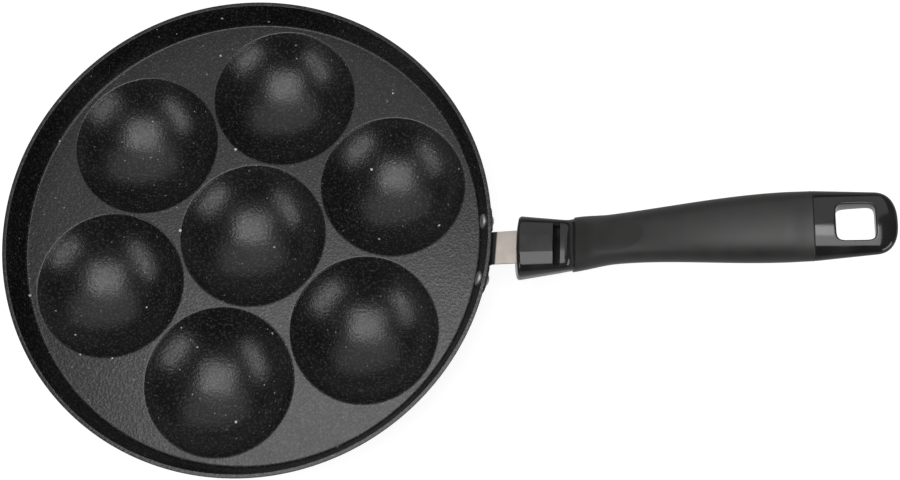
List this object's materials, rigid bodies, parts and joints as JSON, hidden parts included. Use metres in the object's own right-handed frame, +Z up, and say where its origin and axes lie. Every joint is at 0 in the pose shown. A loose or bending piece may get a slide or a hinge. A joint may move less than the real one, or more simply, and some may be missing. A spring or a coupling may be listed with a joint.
{
  "type": "pancake pan",
  "caption": "Round cast pan with a ring of spherical wells for small pancakes, a low flared wall and a riveted, rising black handle with a hanging hole.",
  "frame": {"origin": "on the pan's axis, on the plane that the flat discs under the wells rest on", "axes": "+Z up, +X from the pan's axis through the middle of the handle's bracket"},
  "size_m": [0.4448, 0.2604, 0.114],
  "materials": {
    "speckled_coat": "satin black non-stick coat with pale specks on cast aluminium",
    "bare_steel": "satin bare steel",
    "rivet_aluminium": "bright",
    "gloss_black": "glossy moulded phenolic",
    "soft_black": "satin soft-touch",
    "zinc_steel": "zinc plated"
  },
  "bodies": {
    "root": {"pan_body": "speckled_coat", "handle_bracket": "bare_steel", "rivet_left": "rivet_aluminium", "rivet_right": "rivet_aluminium", "handle_collar": "gloss_black", "handle_core": "gloss_black", "grip_sleeve": "soft_black", "handle_screw": "zinc_steel", "screw_washer": "zinc_steel"}
  },
  "joints": []
}
